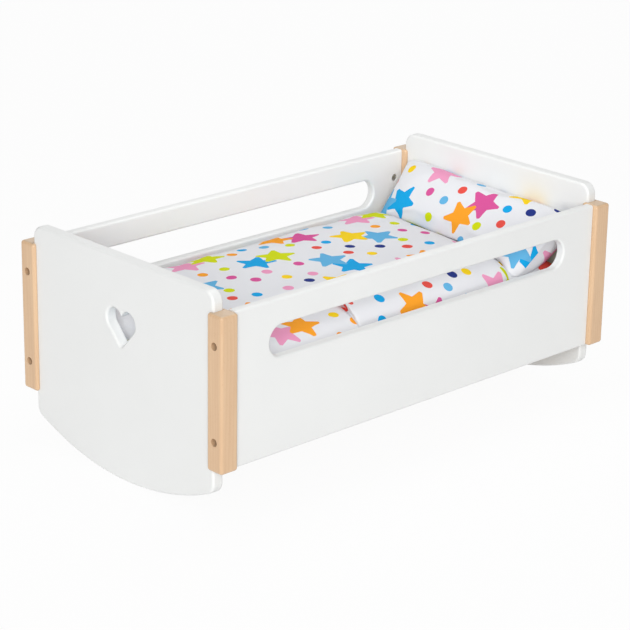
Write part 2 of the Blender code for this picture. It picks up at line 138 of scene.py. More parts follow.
def blend_colours(share, first, second):
    """Goes from the first colour to the second as the share goes from 0 to 1."""
    return share.node("ShaderNodeMix", {"data_type": "RGBA"}, {0: share, 6: first, 7: second}, 2)


def grain_noise(place, scale, detail=2.0):
    """Soft random values from 0 to 1."""
    return place.node("ShaderNodeTexNoise", {}, {"Vector": place, "Scale": scale, "Detail": detail})


def stretched(place, factors):
    """The same places, scaled apart along each axis."""
    return place.node("ShaderNodeVectorMath", {"operation": "MULTIPLY"}, {0: place, 1: factors})


def between(limits, share):
    """A value that goes from its low to its high limit as the share goes from 0 to 1."""
    low, high = limits
    return low + (high - low) * share


def new_finish(name, roughness=0.5, metallic=0.0):
    """A material of one shader, with a wire of the places on its piece in metres."""
    material = bpy.data.materials.new(name)
    material.use_nodes = True
    shader = material.node_tree.nodes["Principled BSDF"]
    shader.inputs["Roughness"].default_value = roughness
    shader.inputs["Metallic"].default_value = metallic
    coordinates = material.node_tree.nodes.new("ShaderNodeTexCoord")
    return material, shader, Wire(coordinates.outputs["Object"])


def feed(shader, name, wire):
    """Lets a wire set one input of the shader."""
    shader.id_data.links.new(wire.socket, shader.inputs[name])


def relief(shader, height, depth):
    """Raises the surface by up to the depth where the height wire is 1."""
    bump = height.node("ShaderNodeBump", {}, {"Strength": 1.0, "Distance": depth, "Height": height})
    feed(shader, "Normal", bump)


def lacquer():
    """Sprayed satin lacquer: nearly even white, with a faint orange peel."""
    material, shader, place = new_finish("white_lacquer")
    cloud = grain_noise(place, CLOUD_SCALE)
    feed(shader, "Base Color", blend_colours(cloud, colour(*LACQUER_CLOUD), colour(*LACQUER_WHITE)))
    feed(shader, "Roughness", between(LACQUER_ROUGHNESS, grain_noise(place, HAZE_SCALE)))
    relief(shader, grain_noise(place, PEEL_SCALE, detail=1.0), PEEL_DEPTH)
    return material


def arc(centre, radius, start, end, steps):
    """Points of an arc from one angle to another, both ends included."""
    points = []
    for i in range(steps + 1):
        angle = start + (end - start) * i / steps
        points.append((centre[0] + radius * math.cos(angle), centre[1] + radius * math.sin(angle)))
    return points


def mirrored(points):
    """The same points on the other side of the middle line, in the opposite order."""
    return [(-u, v) for u, v in reversed(points)]


def add_piece(name, bm, material, body, slot, *nodes):
    """Adds the working mesh as a piece that rides on a body in place of its plain solids."""
    bmesh.ops.recalc_face_normals(bm, faces=bm.faces)
    mesh = bpy.data.meshes.new(name)
    bm.to_mesh(mesh)
    bm.free()
    mesh.materials.append(material)
    mesh.shade_smooth()
    piece = bpy.data.objects.new(name, mesh)
    bpy.context.scene.collection.objects.link(piece)
    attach(piece, body)
    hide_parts(*nodes)
    return piece


def rounded_board(outline, hole, thickness, orient):
    """A board with one hole and rounded edges. outline(inset) and hole(inset) give the edges'
    points on the flat, and orient turns flat points and heights into the board's place."""
    rising = []
    for i in range(ROUND_STEPS + 1):
        angle = HALF_PI * i / ROUND_STEPS
        inset = ROUND_OVER * (1 - math.sin(angle))
        rising.append((inset, ROUND_OVER * (1 - math.cos(angle)) - thickness / 2))
    profile = rising + [(inset, -height) for inset, height in reversed(rising)]
    bm = bmesh.new()
    for edge in (outline, hole):
        rings = []
        for inset, height in profile:
            rings.append([bm.verts.new(orient(u, v, height)) for u, v in edge(inset)])
        for lower, upper in zip(rings, rings[1:]):
            for i, vert in enumerate(lower):
                after = (i + 1) % len(lower)
                bm.faces.new((vert, lower[after], upper[after], upper[i]))
    open_edges = [e for e in bm.edges if len(e.link_faces) == 1]
    middle = orient(0, 0, 0)
    normal = orient(0, 0, 1) - middle
    for side in (-1, 1):
        rim = [e for e in open_edges if side * (e.verts[0].co - middle).dot(normal) > 0]
        bmesh.ops.triangle_fill(bm, edges=rim, use_beauty=True)
    return bm


def even_shading(piece):
    """Keeps flat faces flat beside their rounded edges."""
    normals = piece.modifiers.new("flat faces", "WEIGHTED_NORMAL")
    normals.keep_sharp = True
    normals.weight = FLAT_FACE_WEIGHT


def end_outline(half_width, top, inset):
    """The rocker end's edge: flat top, round corners, straight sides and the rocker arc."""
    corner_u = half_width - ROCKER_CORNER_RADIUS
    reach = ROCKER_RADIUS - ROCKER_CORNER_RADIUS
    corner_v = ROCKER_RADIUS - math.sqrt(reach**2 - corner_u**2)
    swing = math.asin(corner_u / reach)
    start, end = -HALF_PI - swing, -HALF_PI + swing
    bottom = arc((0, ROCKER_RADIUS), ROCKER_RADIUS - inset, start, end, ROCKER_STEPS)
    lower = arc((corner_u, corner_v), ROCKER_CORNER_RADIUS - inset, end, 0, CORNER_STEPS)
    centre = (half_width - END_CORNER_RADIUS, top - END_CORNER_RADIUS)
    upper = arc(centre, END_CORNER_RADIUS - inset, 0, HALF_PI, CORNER_STEPS)
    right = lower[1:] + upper
    return bottom + right + mirrored(right)


def heart_outline(lobe_height, inset):
    """The heart's edge: two round lobes, straight sides and a small round tip."""
    lean = math.atan2(LOBE_OFFSET, HEART_POINT_DROP)
    lean += math.asin(LOBE_RADIUS / math.hypot(LOBE_OFFSET, HEART_POINT_DROP))
    tip_height = lobe_height - HEART_POINT_DROP + HEART_TIP_RADIUS / math.sin(lean)
    tip = arc((0, tip_height), HEART_TIP_RADIUS + inset, lean - math.pi, -lean, CORNER_STEPS)
    radius = LOBE_RADIUS + inset
    cusp_rise = math.sqrt(radius**2 - LOBE_OFFSET**2)
    cusp = math.atan2(cusp_rise, -LOBE_OFFSET)
    lobe = arc((LOBE_OFFSET, lobe_height), radius, -lean, cusp, LOBE_STEPS)
    return tip + lobe[:-1] + [(0, lobe_height + cusp_rise)] + mirrored(lobe[:-1])


def rocker_end(node, material):
    """One rocker end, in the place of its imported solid."""
    low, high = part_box(node)
    place = (low.x + high.x) / 2
    bm = rounded_board(
        lambda inset: end_outline(high.y, high.z, inset),
        lambda inset: heart_outline(high.z - HEART_DROP, inset),
        high.x - low.x,
        lambda u, v, h: Vector((place + h, u, v)),
    )
    even_shading(add_piece(node + "_board", bm, material, "cradle", "white_lacquer", node))


white = lacquer()
for end in ("foot", "head"):
    rocker_end(end + "_end_panel", white)


# The sides are boards of the same lacquered stock with a long finger slot near the top. Their
# square ends butt against the posts, a groove inside holds the base board, and blind holes
# inside take the barrel nuts.
SLOT_HEIGHT = 0.030
SLOT_DROP = 0.025  # from the side's upper edge
SLOT_END_DISTANCE = 0.0415  # from the posts
SLOT_STEPS = 48
BOARD_GROOVE_DEPTH = 0.003
FIT = 0.0003  # of a groove or blind hole round what it holds
CUT_OVERRUN = 0.002  # of a cut past the face that it starts from
BORE_SIDES = 48
SHARP_ANGLE = math.radians(40)
SCREW_HOLE_RADIUS = 0.0023
PILOT_OVERRUN = 0.0015  # of a screw's hole past its tip


def turned(bm, profile, place):
    """A round solid from (radius, distance along the axis) pairs, closed at both ends."""
    rings = []
    for radius, along in profile:
        ring = []
        for i in range(BORE_SIDES):
            angle = 2 * math.pi * i / BORE_SIDES
            point = Vector((radius * math.cos(angle), radius * math.sin(angle), along))
            ring.append(bm.verts.new(place @ point))
        rings.append(ring)
    for lower, upper in zip(rings, rings[1:]):
        for i, vert in enumerate(lower):
            after = (i + 1) % BORE_SIDES
            bm.faces.new((vert, lower[after], upper[after], upper[i]))
    bm.faces.new(rings[0])
    bm.faces.new(rings[-1])


def block(bm, low, high):
    """A plain box between two corners."""
    low, high = Vector(low), Vector(high)
    made = bmesh.ops.create_cube(bm, size=1)
    bmesh.ops.scale(bm, vec=high - low, verts=made["verts"])
    bmesh.ops.translate(bm, vec=(low + high) / 2, verts=made["verts"])


def along_x(sign, origin):
    """Turns the axis of a round solid to point out of the cradle's end."""
    return Matrix.Translation(origin) @ Matrix.Rotation(sign * HALF_PI, 4, "Y")


def along_y(sign, origin):
    """Turns the axis of a round solid across the cradle."""
    return Matrix.Translation(origin) @ Matrix.Rotation(-sign * HALF_PI, 4, "X")


def carve(piece, *cutters):
    """Takes the cutters' shapes out of the piece and leaves crisp edges where they meet it."""
    for bm in cutters:
        bmesh.ops.recalc_face_normals(bm, faces=bm.faces)
        mesh = bpy.data.meshes.new("cutter")
        bm.to_mesh(mesh)
        bm.free()
        cutter = bpy.data.objects.new("cutter", mesh)
        bpy.context.scene.collection.objects.link(cutter)
        boolean = piece.modifiers.new("cut", "BOOLEAN")
        boolean.solver = "EXACT"
        boolean.object = cutter
        bpy.context.view_layer.update()
        graph = bpy.context.evaluated_depsgraph_get()
        carved = bpy.data.meshes.new_from_object(piece.evaluated_get(graph))
        piece.modifiers.remove(boolean)
        piece.data = carved
        bpy.data.objects.remove(cutter)
    piece.data.shade_smooth()
    piece.data.set_sharp_from_angle(angle=SHARP_ANGLE)
    even_shading(piece)


def side_board(side, sign, material):
    """One slotted side, with its board groove and fastener holes."""
    node = side + "_side_panel"
    low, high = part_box(node)
    middle = (low.y + high.y) / 2
    board_low, board_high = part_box("base_board")
    post_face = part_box("post_head_" + side)[0].x

    def outline(inset):
        return [
            (low.x, low.z + inset),
            (high.x, low.z + inset),
            (high.x, high.z - inset),
            (low.x, high.z - inset),
        ]

    def slot(inset):
        radius = SLOT_HEIGHT / 2
        centre = (post_face - SLOT_END_DISTANCE - radius, high.z - SLOT_DROP - radius)
        end = arc(centre, radius + inset, -HALF_PI, HALF_PI, SLOT_STEPS)
        return end + mirrored(end)

    bm = rounded_board(outline, slot, high.y - low.y, lambda u, v, h: Vector((u, middle + h, v)))
    piece = add_piece(node + "_board", bm, material, "cradle", "white_lacquer", node)

    inner = middle - sign * (high.y - low.y) / 2
    grooves = bmesh.new()
    near, far = sorted((inner + sign * BOARD_GROOVE_DEPTH, inner - sign * CUT_OVERRUN))
    block(
        grooves,
        (low.x - CUT_OVERRUN, near, board_low.z - FIT),
        (high.x + CUT_OVERRUN, far, board_high.z + FIT),
    )
    screw_holes = bmesh.new()
    for end, direction in (("foot", -1), ("head", 1)):
        for row in ("lower", "upper"):
            nut_low, nut_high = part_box(f"barrel_nut_{end}_{side}_{row}")
            nut = (nut_low + nut_high) / 2
            reach = nut_high.y - nut_low.y + 2 * FIT
            hole = (nut_high.z - nut_low.z) / 2 + FIT
            axis = along_y(sign, (nut.x, inner, nut.z))
            turned(grooves, [(hole, -CUT_OVERRUN), (hole, reach)], axis)
            screw_low, screw_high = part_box(f"screw_{end}_{side}_{row}")
            tip = screw_low.x if direction > 0 else screw_high.x
            outer = high.x if direction > 0 else low.x
            axis = along_x(direction, (outer, middle, nut.z))
            depth = abs(outer - tip) + PILOT_OVERRUN
            profile = [(SCREW_HOLE_RADIUS, -depth), (SCREW_HOLE_RADIUS, CUT_OVERRUN)]
            turned(screw_holes, profile, axis)
    carve(piece, grooves, screw_holes)


for side, sign in (("front", -1), ("back", 1)):
    side_board(side, sign, white)


# The posts are 20 mm square lengths of steamed beech with softened edges under a satin clear
# coat. Each has a groove for its rocker end and two counterbored holes for the screws.
POST_ROUNDING = 0.003
ROUND_PROFILE = 0.5
GROOVE_DEPTH = 0.005
COUNTERBORE_RADIUS = 0.0038
COUNTERBORE_DEPTH = 0.010
BORE_RIM = 0.00005  # how far its shaded wood reaches past a counterbore's wall
BORE_SHADE_DEPTH = 0.009  # where the painted shade down a counterbore is darkest
BEECH_LIGHT = (226, 192, 154)
BEECH_DARK = (210, 170, 132)
BEECH_END = (208, 182, 152)
BEECH_FLECK = (198, 155, 116)
# the dark colour down the counterbores: partly the bare bored wood's darker tone, partly painted
# shade that deepens with depth
BEECH_BORE_WOOD_AND_SHADE = (120, 86, 62)
BEECH_ROUGHNESS = (0.32, 0.46)
COAT = 0.3
COAT_ROUGHNESS = 0.2
PITHS = {  # where the middle of each post's growth rings lies, along and across the cradle
    ("foot", "front"): (-0.21, -0.09),
    ("foot", "back"): (-0.31, 0.17),
    ("head", "front"): (0.19, -0.20),
    ("head", "back"): (0.30, 0.08),
}
GRAIN_SWAY = 0.006
GRAIN_SWAY_SCALE = 22.0
GRAIN_SWAY_STRETCH = (1, 1, 0.25)
RING_WIDTH = 0.0024
LATE_WOOD_SHARE = 0.315  # of the darker colour
FIBRE_SCALE = 1100.0
FIBRE_STRETCH = (1, 1, 0.03)
FIBRE_SHARE = 0.3
BAND_SCALE = 90.0
BAND_STRETCH = (1, 1, 0.12)
BAND_SHARE = 0.8
LIGHT_WOOD_SHARE = 0.28  # taken off the darker colour's share
FLECK_SCALE = 620.0
FLECK_STRETCH = (1, 1, 0.22)
FLECK_REACH = 0.14  # of a fleck in its cell
FLECK_SHARE = 0.35
FLECK_DIP = 0.6  # against the fibres' height
FIBRE_HEIGHT = 0.00002
END_GRAIN_RISE = 0.85  # of the surface's normal, from where end grain shows
END_GRAIN_SHARE = 0.7


def length_of(offset):
    """How long an offset is."""
    return offset.node("ShaderNodeVectorMath", {"operation": "LENGTH"}, {0: offset}, 1)


def swayed(place, at, scale, reach, detail=2.0):
    """The places, moved by a soft random offset that is looked up at other places."""
    inputs = {"Vector": at, "Scale": scale, "Detail": detail}
    offset = place.node("ShaderNodeTexNoise", {}, inputs, 1)
    inputs = {0: offset, 1: (reach, reach, 0), 2: place}
    return place.node("ShaderNodeVectorMath", {"operation": "MULTIPLY_ADD"}, inputs)


def offset_from(place, middle):
    """How far the places are from the middle, as vectors."""
    return place.node("ShaderNodeVectorMath", {"operation": "SUBTRACT"}, {0: place, 1: middle})


def beech(name, pith, mouths):
    """Straight-grained beech around a pith that lies outside the post. Down the counterbores, from
    their mouths' centres on, the colour darkens with depth: partly the darker tone of the bare bored
    wood and partly painted shade."""
    material, shader, place = new_finish(name)
    shader.inputs["Coat Weight"].default_value = COAT
    shader.inputs["Coat Roughness"].default_value = COAT_ROUGHNESS
    grown = swayed(place, stretched(place, GRAIN_SWAY_STRETCH), GRAIN_SWAY_SCALE, GRAIN_SWAY)
    rings = length_of(stretched(offset_from(grown, (*pith, 0)), (1, 1, 0))) / RING_WIDTH
    ring = rings.math("FRACT", rings)
    fibres = grain_noise(stretched(place, FIBRE_STRETCH), FIBRE_SCALE, detail=3.0)
    bands = grain_noise(stretched(place, BAND_STRETCH), BAND_SCALE)
    dark = ring * ring * LATE_WOOD_SHARE + fibres * FIBRE_SHARE + bands * BAND_SHARE
    wood = blend_colours(dark - LIGHT_WOOD_SHARE, colour(*BEECH_LIGHT), colour(*BEECH_DARK))
    inputs = {"Vector": stretched(place, FLECK_STRETCH), "Scale": FLECK_SCALE}
    flecks = place.node("ShaderNodeTexVoronoi", {}, inputs) < FLECK_REACH
    wood = blend_colours(flecks * FLECK_SHARE, wood, colour(*BEECH_FLECK))
    normal = Wire(place.socket.node.outputs["Normal"])
    upright = normal.node("ShaderNodeSeparateXYZ", {}, {0: normal}, 2)
    end_grain = upright.math("ABSOLUTE", upright) > END_GRAIN_RISE
    wood = blend_colours(end_grain * END_GRAIN_SHARE, wood, colour(*BEECH_END))
    # painted shade down each counterbore, darker with depth, together with the bare bored wood's
    # darker tone
    for mouth in mouths:
        offset = offset_from(place, mouth)
        inside = length_of(stretched(offset, (0, 1, 1))) < COUNTERBORE_RADIUS + BORE_RIM
        depth = length_of(stretched(offset, (1, 0, 0))) / BORE_SHADE_DEPTH
        shade = inside * depth.math("MINIMUM", depth, 1.0)
        wood = blend_colours(shade, wood, colour(*BEECH_BORE_WOOD_AND_SHADE))
    feed(shader, "Base Color", wood)
    feed(shader, "Roughness", between(BEECH_ROUGHNESS, fibres))
    relief(shader, fibres - FLECK_DIP * flecks, FIBRE_HEIGHT)
    return material


def post(end, side, direction, sign):
    """One corner post."""
    corner = f"{end}_{side}"
    node = "post_" + corner
    low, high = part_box(node)
    outer = high.x if direction > 0 else low.x
    mouths = []
    for row in ("lower", "upper"):
        screw_low, screw_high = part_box(f"screw_{corner}_{row}")
        middle = (screw_low + screw_high) / 2
        mouths.append((outer, middle.y, middle.z))
    bm = bmesh.new()
    block(bm, low, high)
    bmesh.ops.bevel(
        bm,
        geom=bm.edges[:],
        offset=POST_ROUNDING,
        segments=ROUND_STEPS,
        profile=ROUND_PROFILE,
        affect="EDGES",
    )
    material = beech("beech_" + corner, PITHS[end, side], mouths)
    piece = add_piece(node + "_timber", bm, material, "cradle", "beech", node)

    end_low, end_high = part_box(end + "_end_panel")
    inner = low.y if sign > 0 else high.y
    near, far = sorted((inner + sign * GROOVE_DEPTH, inner - sign * CUT_OVERRUN))
    groove = bmesh.new()
    block(
        groove,
        (end_low.x - FIT, near, low.z - CUT_OVERRUN),
        (end_high.x + FIT, far, high.z + CUT_OVERRUN),
    )
    bores = bmesh.new()
    profile = [
        (SCREW_HOLE_RADIUS, low.x - high.x - CUT_OVERRUN),
        (SCREW_HOLE_RADIUS, -COUNTERBORE_DEPTH),
        (COUNTERBORE_RADIUS, -COUNTERBORE_DEPTH),
        (COUNTERBORE_RADIUS, CUT_OVERRUN),
    ]
    for mouth in mouths:
        turned(bores, profile, along_x(direction, mouth))
    carve(piece, groove, bores)


for end, direction in (("foot", -1), ("head", 1)):
    for side, sign in (("front", -1), ("back", 1)):
        post(end, side, direction, sign)


# The screws are zinc-plated socket-head machine screws at the bottom of the posts' counterbores.
# Each one runs into a slotted barrel nut in its blind hole inside the side board.
ZINC = (216, 215, 211)
ZINC_DULL = (188, 187, 184)
ZINC_ROUGHNESS = (0.34, 0.54)
ZINC_CLOUD_SCALE = 300.0
ZINC_HAZE_SCALE = 900.0
SCREW_RADIUS = 0.002
SCREW_TIP_CHAMFER = 0.0005
HEAD_HEIGHT = 0.004
HEAD_CHAMFER = 0.0004
KEY_RADIUS = 0.0017
KEY_DEPTH = 0.002
KEY_SIDES = 6
NUT_CHAMFER = 0.0004
NUT_SLOT_WIDTH = 0.001
NUT_SLOT_DEPTH = 0.0008


def zinc_steel():
    """Zinc-plated steel, slightly cloudy."""
    material, shader, place = new_finish("zinc_steel", metallic=1.0)
    cloud = grain_noise(place, ZINC_CLOUD_SCALE)
    feed(shader, "Base Color", blend_colours(cloud, colour(*ZINC_DULL), colour(*ZINC)))
    feed(shader, "Roughness", between(ZINC_ROUGHNESS, grain_noise(place, ZINC_HAZE_SCALE)))
    return material


def screw(node, direction, material):
    """One socket-head screw."""
    low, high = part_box(node)
    middle = (low + high) / 2
    outer = high.x if direction > 0 else low.x
    axis = along_x(direction, (outer, middle.y, middle.z))
    radius = (high.z - low.z) / 2
    tip = low.x - high.x
    profile = [
        (SCREW_RADIUS - SCREW_TIP_CHAMFER, tip),
        (SCREW_RADIUS, tip + SCREW_TIP_CHAMFER),
        (SCREW_RADIUS, -HEAD_HEIGHT),
        (radius, -HEAD_HEIGHT),
        (radius, -HEAD_CHAMFER),
        (radius - HEAD_CHAMFER, 0),
    ]
    bm = bmesh.new()
    turned(bm, profile, axis)
    piece = add_piece(node + "_turned", bm, material, "cradle", "zinc_steel", node)
    key = bmesh.new()
    bmesh.ops.create_cone(
        key,
        cap_ends=True,
        segments=KEY_SIDES,
        radius1=KEY_RADIUS,
        radius2=KEY_RADIUS,
        depth=2 * KEY_DEPTH,
    )
    bmesh.ops.transform(key, matrix=axis, verts=key.verts)
    carve(piece, key)


def barrel_nut(node, side, sign, material):
    """One slotted barrel nut."""
    low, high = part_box(node)
    middle = (low + high) / 2
    face = low.y if sign > 0 else high.y
    radius = (high.z - low.z) / 2
    length = high.y - low.y
    profile = [
        (radius - NUT_CHAMFER, 0),
        (radius, NUT_CHAMFER),
        (radius, length - NUT_CHAMFER),
        (radius - NUT_CHAMFER, length),
    ]
    bm = bmesh.new()
    turned(bm, profile, along_y(sign, (middle.x, face, middle.z)))
    piece = add_piece(node + "_turned", bm, material, "cradle", "zinc_steel", node)

    board_low, board_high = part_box(side + "_side_panel")
    reach = radius + CUT_OVERRUN
    hole = bmesh.new()
    profile = [(SCREW_HOLE_RADIUS, -reach), (SCREW_HOLE_RADIUS, reach)]
    turned(hole, profile, along_x(1, (middle.x, (board_low.y + board_high.y) / 2, middle.z)))
    slot = bmesh.new()
    near, far = sorted((face + sign * NUT_SLOT_DEPTH, face - sign * CUT_OVERRUN))
    half = NUT_SLOT_WIDTH / 2
    block(slot, (middle.x - reach, near, middle.z - half), (middle.x + reach, far, middle.z + half))
    carve(piece, hole, slot)


steel = zinc_steel()
for end, direction in (("foot", -1), ("head", 1)):
    for side, sign in (("front", -1), ("back", 1)):
        for row in ("lower", "upper"):
            screw(f"screw_{end}_{side}_{row}", direction, steel)
            barrel_nut(f"barrel_nut_{end}_{side}_{row}", side, sign, steel)


# The base board is thin birch plywood that carries the mattress. The side boards' grooves hold
# it when the cradle is screwed together.
VENEER = (214, 186, 150)
VENEER_DARK = (196, 164, 126)
VENEER_ROUGHNESS = 0.55
FIGURE_SCALE = 60.0
FIGURE_STRETCH = (0.25, 1, 1)
FIGURE_SHARE = 0.7
VENEER_FIBRE_SCALE = 1500.0
VENEER_FIBRE_STRETCH = (0.02, 1, 1)
VENEER_FIBRE_HEIGHT = 0.00005


def birch_ply():
    """Rotary-cut veneer with soft cloudy figure."""
    material, shader, place = new_finish("birch_plywood", VENEER_ROUGHNESS)
    figure = grain_noise(stretched(place, FIGURE_STRETCH), FIGURE_SCALE, detail=3.0)
    fibres = grain_noise(stretched(place, VENEER_FIBRE_STRETCH), VENEER_FIBRE_SCALE)
    share = figure * FIGURE_SHARE + fibres * (1 - FIGURE_SHARE)
    feed(shader, "Base Color", blend_colours(share, colour(*VENEER), colour(*VENEER_DARK)))
    relief(shader, fibres, VENEER_FIBRE_HEIGHT)
    return material


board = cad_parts["base_board"]
board.data.materials.clear()
board.data.materials.append(birch_ply())


# The mattress is a stuffed bag of printed cotton, two sheets sewn together round its sides. It
# lies loose on the base board and nearly fills the cradle.
MATTRESS_SEAM_HEIGHT = 0.019
MATTRESS_SHOULDER_HEIGHT = 0.040
MATTRESS_CROWN = 0.005
MATTRESS_DRAW_IN = 0.0015
MATTRESS_CORNER = 0.004
MATTRESS_BOXINESS = 12
MATTRESS_ROUNDNESS = 0.5
MATTRESS_GRID = (72, 44)
MATTRESS_LUMPS = 0  # which layer of the random heights it takes
MATTRESS_CAP = 0.003  # most that its stuffing moves a point
CORNER_BOXINESS = 8
BEDDING_GAP = 0.0005
STUFFING_PRESSURE = 4.0
STUFFING_FRAMES = 20
LUMP_SIZE = 0.045
LUMP_HEIGHT = 0.0012
SHEET_SHIFT = 0.093  # between the print of a bag's two sheets
PRINT_SEED = 11
PRINT_REPEAT = (0.232, 0.208, 1.0)
STAR_REACH = 0.0204  # from its middle to its blunt points
STAR_POINT = 0.0243  # to where its points' sides would meet
STAR_NOTCH = 0.0110
STAR_SOFTNESS = 0.0012
STAR_PAIR_GAP = 0.0285
STAR_PAIR_TRIES = 60
DOT_RADIUS = 0.0053
DOT_COUNT = 36
DOT_TRIES = 40
DOT_CLEARANCE = 0.006
PRINT_SWAY = 0.0018
PRINT_SWAY_SCALE = 70.0
COTTON_WHITE = (233, 234, 238)
COTTON_ROUGHNESS = 0.85
COTTON_SHINE = 0.2
INKS = {
    "pink": (238, 157, 194),
    "orange": (252, 164, 40),
    "blue": (12, 166, 230),
    "sky": (100, 180, 226),
    "lime": (211, 222, 4),
    "yellow": (250, 213, 24),
    "red": (233, 82, 72),
    "magenta": (218, 86, 155),
    "navy": (34, 52, 132),
}
STAR_PAIRS = [
    ("pink", "orange"),
    ("blue", "lime"),
    ("red", "yellow"),
    ("sky", "yellow"),
    ("pink", "lime"),
    ("magenta", "orange"),
    ("blue", "sky"),
]
THREAD = 0.0005
THREAD_DEPTH = 0.00004


def apart(first, second):
    """Distance between two places of the print, which repeats."""
    gaps = []
    for a, b, repeat in zip(first, second, PRINT_REPEAT):
        gap = abs(a - b) % repeat
        gaps.append(min(gap, repeat - gap))
    return math.hypot(*gaps)


def best_place(draws, taken, tries):
    """The place, out of some random ones, that is furthest from those taken, and its room."""
    best, best_room = None, -1
    for _ in range(tries):
        place = (draws.uniform(0, PRINT_REPEAT[0]), draws.uniform(0, PRINT_REPEAT[1]))
        room = min((apart(place, other) - reach for other, reach in taken), default=1)
        if room > best_room:
            best, best_room = place, room
    return best, best_room


def print_layout():
    """Stars, in pairs, and dots over one repeat: (place, turn, ink) for each star, then (place,
    ink) for each dot."""
    draws = random.Random(PRINT_SEED)
    pairs, stars, dots, taken = [], [], [], []
    for inks in STAR_PAIRS:
        middle, _ = best_place(draws, [(pair, 0) for pair in pairs], STAR_PAIR_TRIES)
        pairs.append(middle)
        heading = draws.uniform(0, math.pi)
        for side, ink in zip((-1, 1), inks):
            step = side * STAR_PAIR_GAP / 2
            place = (middle[0] + step * math.cos(heading), middle[1] + step * math.sin(heading))
            stars.append((place, draws.uniform(0, math.tau), ink))
            taken.append((place, STAR_REACH))
    names = list(INKS)
    for i in range(DOT_COUNT):
        place, room = best_place(draws, taken, DOT_TRIES)
        if room > DOT_CLEARANCE:
            dots.append((place, names[i % len(names)]))
            taken.append((place, DOT_RADIUS + DOT_CLEARANCE))
    return stars, dots


def from_motif(place, middle):
    """Places measured from the nearest repeat of a motif."""
    half = Vector(PRINT_REPEAT) / 2
    inputs = {0: offset_from(place, (*middle, 0)), 1: half, 2: -half}
    return place.node("ShaderNodeVectorMath", {"operation": "WRAP"}, inputs)


def star_mask(place, middle, turn):
    """1 inside a printed star with blunt points, 0 outside."""
    offset = from_motif(place, middle)
    distance = length_of(offset)
    across = place.node("ShaderNodeSeparateXYZ", {}, {0: offset}, 0)
    up = Wire(across.socket.node.outputs[1])
    slice_angle = math.pi / 5
    angle = up.math("ARCTAN2", up, across) + turn
    folded = angle.math("WRAP", angle, slice_angle, -slice_angle)
    notch_across = STAR_NOTCH * math.sin(slice_angle)
    notch_along = STAR_POINT - STAR_NOTCH * math.cos(slice_angle)
    lean = math.atan2(notch_along, notch_across)
    edge = STAR_POINT * math.cos(lean)
    tilted = folded.math("ABSOLUTE", folded) - lean
    past_side = distance * tilted.math("COSINE", tilted) - edge
    past_point = distance * folded.math("COSINE", folded) - STAR_REACH
    return past_side.math("SMOOTH_MAX", past_side, past_point, STAR_SOFTNESS) < 0.0


def star_cotton():
    """White cotton printed with overlapping stars and dots, in a plain weave."""
    material, shader, place = new_finish("star_cotton", COTTON_ROUGHNESS)
    shader.inputs["Specular IOR Level"].default_value = COTTON_SHINE
    flat = Wire(place.socket.node.outputs["UV"])
    printed = swayed(flat, flat, PRINT_SWAY_SCALE, PRINT_SWAY, detail=1.0)
    stars, dots = print_layout()
    cloth = colour(*COTTON_WHITE)
    for middle, ink in dots:
        inside = length_of(from_motif(printed, middle)) < DOT_RADIUS
        cloth = blend_colours(inside, cloth, colour(*INKS[ink]))
    for middle, turn, ink in stars:
        cloth = blend_colours(star_mask(printed, middle, turn), cloth, colour(*INKS[ink]))
    feed(shader, "Base Color", cloth)
    threads = stretched(flat, (math.tau / THREAD, math.tau / THREAD, 0))
    warp = threads.node("ShaderNodeSeparateXYZ", {}, {0: threads}, 0)
    weft = Wire(warp.socket.node.outputs[1])
    relief(shader, warp.math("SINE", warp) * weft.math("SINE", weft), THREAD_DEPTH)
    return material


def fullness(u, v, boxiness, roundness):
    """How full a stuffed piece is at a place on its sheet: 0 at its seam, 1 in its middle."""
    return ((1 - abs(u) ** boxiness) * (1 - abs(v) ** boxiness)) ** roundness


def blunted(u, v, corner):
    """How far a place on a sheet is pulled in to round the sheet's corners off."""
    return corner * (u * v) ** CORNER_BOXINESS


def lump(x, y, layer):
    """The uneven height of the stuffing at a place."""
    return LUMP_HEIGHT * noise.noise(Vector((x / LUMP_SIZE, y / LUMP_SIZE, layer)))


def spaced(count):
    """Places from -1 to 1 that lie closer together towards both ends."""
    return [math.sin(HALF_PI * (2 * i / count - 1)) for i in range(count + 1)]


def cut_places(points, shift):
    """Where each point of a sheet lay on the flat cloth, measured along it from its middle."""
    columns, rows = len(points) - 1, len(points[0]) - 1
    places = [[[shift, shift] for _ in line] for line in points]
    for i in range(columns + 1):
        for step in (1, -1):
            j = rows // 2
            while 0 <= j + step <= rows:
                run = (points[i][j + step] - points[i][j]).length
                places[i][j + step][1] = places[i][j][1] + step * run
                j += step
    for j in range(rows + 1):
        for step in (1, -1):
            i = columns // 2
            while 0 <= i + step <= columns:
                run = (points[i + step][j] - points[i][j]).length
                places[i + step][j][0] = places[i][j][0] + step * run
                i += step
    return places


def sewn(name, grid, top, bottom, shift, material, node, lay=cut_places):
    """A bag of two sheets that share their seam. top(u, v) and bottom(u, v) give each sheet's
    form, and lay gives the flat places on the cut cloth, which are kept for the print."""
    columns, rows = grid
    bm = bmesh.new()
    flat = bm.loops.layers.uv.new("cut cloth")
    seam = {}
    for sheet, sheet_shift in ((top, shift), (bottom, shift + SHEET_SHIFT)):
        points = [[Vector(sheet(u, v)) for v in spaced(rows)] for u in spaced(columns)]
        verts = []
        for i in range(columns + 1):
            line = []
            for j in range(rows + 1):
                if (i, j) in seam:
                    line.append(seam[i, j])
                    continue
                line.append(bm.verts.new(points[i][j]))
                if i in (0, columns) or j in (0, rows):
                    seam[i, j] = line[-1]
            verts.append(line)
        places = lay(points, sheet_shift)
        for i in range(columns):
            for j in range(rows):
                corners = [(i, j), (i + 1, j), (i + 1, j + 1), (i, j + 1)]
                face = bm.faces.new([verts[a][b] for a, b in corners])
                for loop, (a, b) in zip(face.loops, corners):
                    loop[flat].uv = places[a][b]
    return add_piece(name, bm, material, node, "star_cotton", node)


